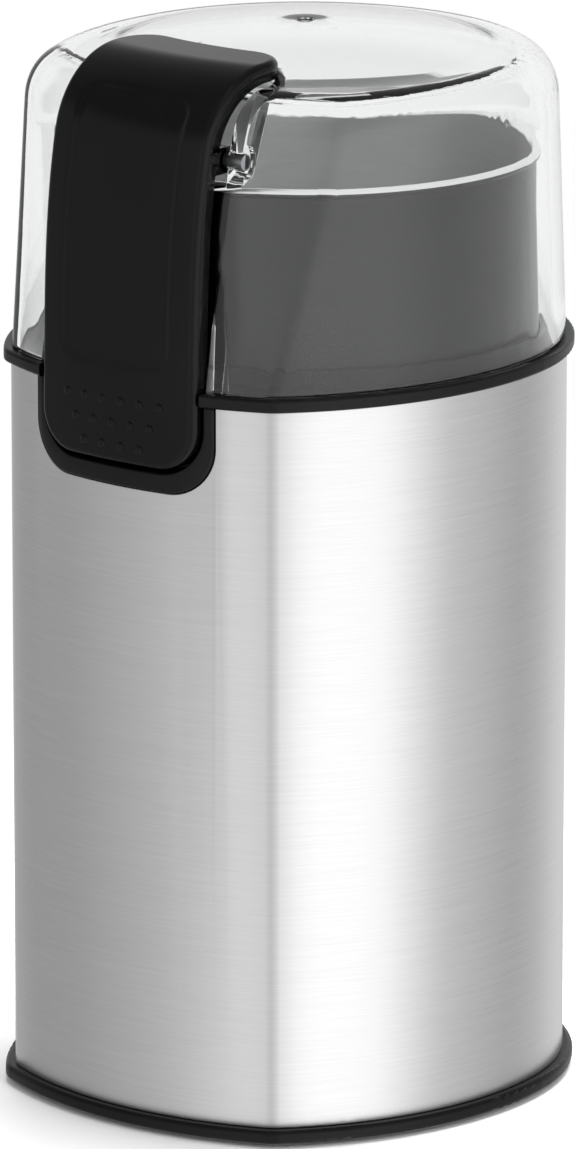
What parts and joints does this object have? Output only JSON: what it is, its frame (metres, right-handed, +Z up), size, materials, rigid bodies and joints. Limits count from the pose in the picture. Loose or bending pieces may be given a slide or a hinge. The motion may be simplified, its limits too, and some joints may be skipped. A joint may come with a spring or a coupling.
{
  "type": "electric blade grinder",
  "caption": "Upright electric blade grinder with a brushed steel body, a clear lift-off lid and a long press lever over a round steel cup with a spinning blade.",
  "frame": {"origin": "on the table, under the middle of the base", "axes": "+Z up, -Y towards the front with the lever, +X to the right seen from the front"},
  "size_m": [0.0998, 0.1045, 0.1963],
  "materials": {
    "black_plastic": "satin moulded",
    "lever_plastic": "satin gloss moulded",
    "brushed_steel": "brushed round the body",
    "cup_steel": "fine satin",
    "clear_plastic": "clear polished",
    "rubber": "matte",
    "grey_plastic": "moulded",
    "plated_steel": "zinc plated",
    "lamination": "stamped sheets",
    "copper": "enamelled wire",
    "bronze": "sintered",
    "brass": "stamped",
    "carbon": "pressed graphite"
  },
  "bodies": {
    "body": {"base_cover": "black_plastic", "rubber_feet": "rubber", "base_screws": "plated_steel", "cord_gland": "rubber", "steel_shell": "brushed_steel", "chassis": "grey_plastic", "collar": "black_plastic", "switch_bezel": "black_plastic", "grinding_cup": "cup_steel", "cup_gasket": "rubber", "shaft_seal": "rubber", "stator_core": "lamination", "field_coils": "copper", "upper_bracket": "plated_steel", "lower_bracket": "plated_steel", "upper_bearing": "bronze", "lower_bearing": "bronze", "motor_screws": "plated_steel", "motor_dampers": "rubber", "brush_holders": "brass", "carbon_brushes": "carbon", "brush_springs": "plated_steel", "microswitch": "grey_plastic", "switch_bracket": "plated_steel", "plunger_spring": "plated_steel"},
    "rotor": {"motor_shaft": "plated_steel", "armature_core": "lamination", "armature_windings": "copper", "commutator": "copper", "cooling_fan": "black_plastic", "blade_hub": "black_plastic", "blade": "cup_steel", "blade_nut": "plated_steel"},
    "lid": {"clear_lid": "clear_plastic", "hinge_pins": "plated_steel"},
    "lever": {"press_lever": "lever_plastic"},
    "plunger": {"switch_plunger": "black_plastic"}
  },
  "joints": [
    {"name": "rotor_spin", "type": "hinge", "parent": "body", "child": "rotor", "pos_m": [0, 0.0026, 0.06], "axis": [0, 0, 1], "continuous": true},
    {"name": "lid_lift", "type": "slide", "parent": "body", "child": "lid", "axis": [0, 0, 1], "range_m": [0, 0.12]},
    {"name": "lever_press", "type": "hinge", "parent": "lid", "child": "lever", "pos_m": [0, -0.0397, 0.1799], "axis": [1, 0, 0], "range_deg": [0, 2], "stiffness_Nm_per_rad": 4, "springref_deg": -1.72},
    {"name": "plunger_push", "type": "slide", "parent": "body", "child": "plunger", "axis": [0, 1, 0], "range_m": [0, 0.0019], "deforming": ["plunger_spring"]}
  ],
  "couplings": [
    {"joint": "plunger_push", "follows": "lever_press", "m_per_rad": 0.0513}
  ]
}
